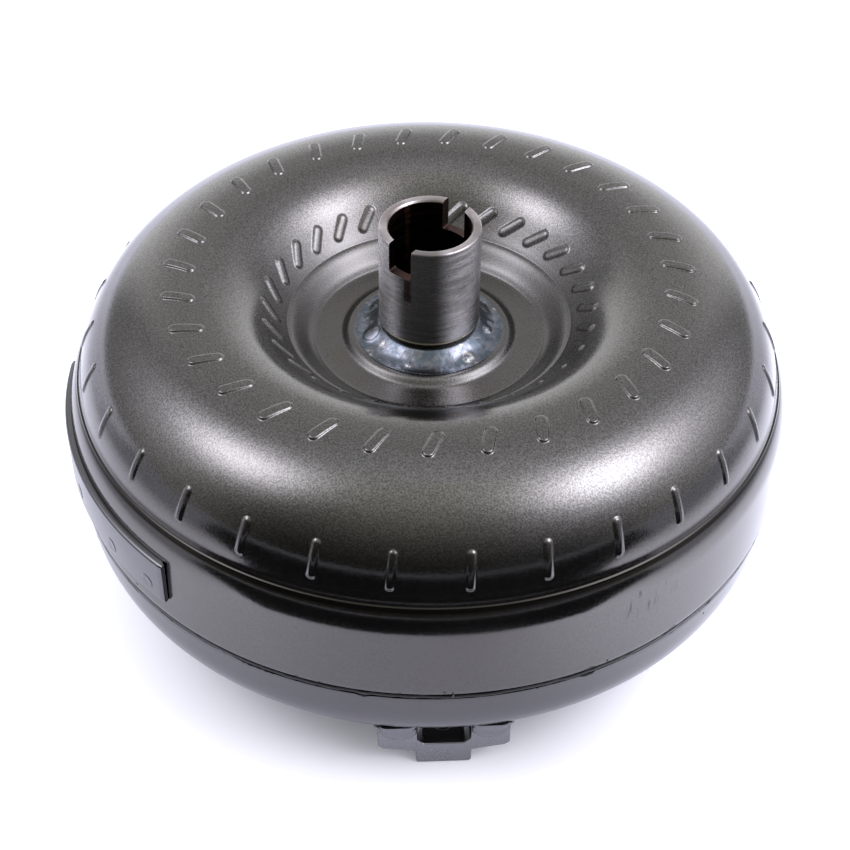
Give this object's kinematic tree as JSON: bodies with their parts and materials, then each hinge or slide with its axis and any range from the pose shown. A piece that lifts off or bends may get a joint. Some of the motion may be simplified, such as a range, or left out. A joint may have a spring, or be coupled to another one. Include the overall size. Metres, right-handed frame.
{
  "type": "torque converter",
  "caption": "Welded lock-up torque converter: domed impeller shell with raised vane tabs, slotted pump-drive hub, front cover with bridge lugs, and working internals.",
  "frame": {"origin": "on the axis, in the plane of the three lug faces", "axes": "+Z along the axis towards the pump-drive hub; -Y towards lug 1"},
  "size_m": [0.3507, 0.3486, 0.1904],
  "materials": {
    "shell_paint": "dark warm-grey metallic paint, satin gloss, fine grain",
    "cover_paint": "the same paint over machined and forged steel",
    "ground_steel": "ground steel with streaks along the axis, slightly blued by the weld",
    "weld_metal": "bright bluish fillet weld, smooth and lumpy",
    "pressed_steel": "plain pressed sheet steel",
    "machined_steel": "turned steel",
    "bearing_steel": "hardened and ground",
    "spring_steel": "dark oil-tempered wire",
    "cast_aluminium": "as-cast, satin",
    "friction_paper": "brown paper-based friction material",
    "polymer": "filled polymer"
  },
  "bodies": {
    "housing": {"front_cover": "cover_paint", "pilot_hub": "ground_steel", "impeller_shell": "shell_paint", "impeller_hub": "ground_steel", "hub_weld": "weld_metal", "seam_weld": "shell_paint", "balance_weight": "cover_paint", "mounting_lug_1": "cover_paint", "mounting_lug_2": "cover_paint", "mounting_lug_3": "cover_paint", "impeller_vanes": "pressed_steel", "cover_thrust_washer": "polymer", "impeller_bearing_race": "bearing_steel"},
    "turbine": {"turbine_shell": "pressed_steel", "turbine_vanes": "pressed_steel", "turbine_hub": "machined_steel", "damper_driven_plate": "pressed_steel", "piston_seal": "polymer", "turbine_bearing_race": "bearing_steel"},
    "damper": {"spring_retainer": "pressed_steel", "damper_spring_1": "spring_steel", "damper_spring_2": "spring_steel", "damper_spring_3": "spring_steel", "damper_spring_4": "spring_steel", "damper_spring_5": "spring_steel", "damper_spring_6": "spring_steel"},
    "lockup_piston": {"lockup_piston": "pressed_steel", "friction_lining": "friction_paper"},
    "stator_race": {"stator_inner_race": "bearing_steel"},
    "stator": {"stator_wheel": "cast_aluminium", "stator_cam_race": "bearing_steel", "roller_cage": "bearing_steel", "stator_front_cap": "cast_aluminium", "stator_rear_cap": "cast_aluminium", "stator_front_bearing_race": "bearing_steel", "stator_rear_bearing_race": "bearing_steel"},
    "turbine_needle_cage": {"turbine_bearing_cage": "bearing_steel"},
    "impeller_needle_cage": {"impeller_bearing_cage": "bearing_steel"}
  },
  "joints": [
    {"name": "turbine_spin", "type": "hinge", "parent": "housing", "child": "turbine", "pos_m": [0, 0, 0.08], "axis": [0, 0, 1], "continuous": true},
    {"name": "damper_windup", "type": "hinge", "parent": "turbine", "child": "damper", "pos_m": [0, 0, 0.048], "axis": [0, 0, 1], "range_deg": [0, 8], "deforming": ["damper_spring_1", "damper_spring_2", "damper_spring_3", "damper_spring_4", "damper_spring_5", "damper_spring_6"]},
    {"name": "lockup_apply", "type": "slide", "parent": "damper", "child": "lockup_piston", "axis": [0, 0, 1], "range_m": [0, 0.0015]},
    {"name": "stator_race_spin", "type": "hinge", "parent": "housing", "child": "stator_race", "pos_m": [0, 0, 0.1], "axis": [0, 0, 1], "continuous": true},
    {"name": "stator_freewheel", "type": "hinge", "parent": "stator_race", "child": "stator", "pos_m": [0, 0, 0.1], "axis": [0, 0, 1], "continuous": true},
    {"name": "turbine_bearing_roll", "type": "hinge", "parent": "housing", "child": "turbine_needle_cage", "pos_m": [0, 0, 0.087], "axis": [0, 0, 1], "continuous": true},
    {"name": "impeller_bearing_roll", "type": "hinge", "parent": "housing", "child": "impeller_needle_cage", "pos_m": [0, 0, 0.1175], "axis": [0, 0, 1], "continuous": true}
  ],
  "couplings": [
    {"joint": "turbine_bearing_roll", "follows": "turbine_spin", "ratio": 0.5}
  ]
}
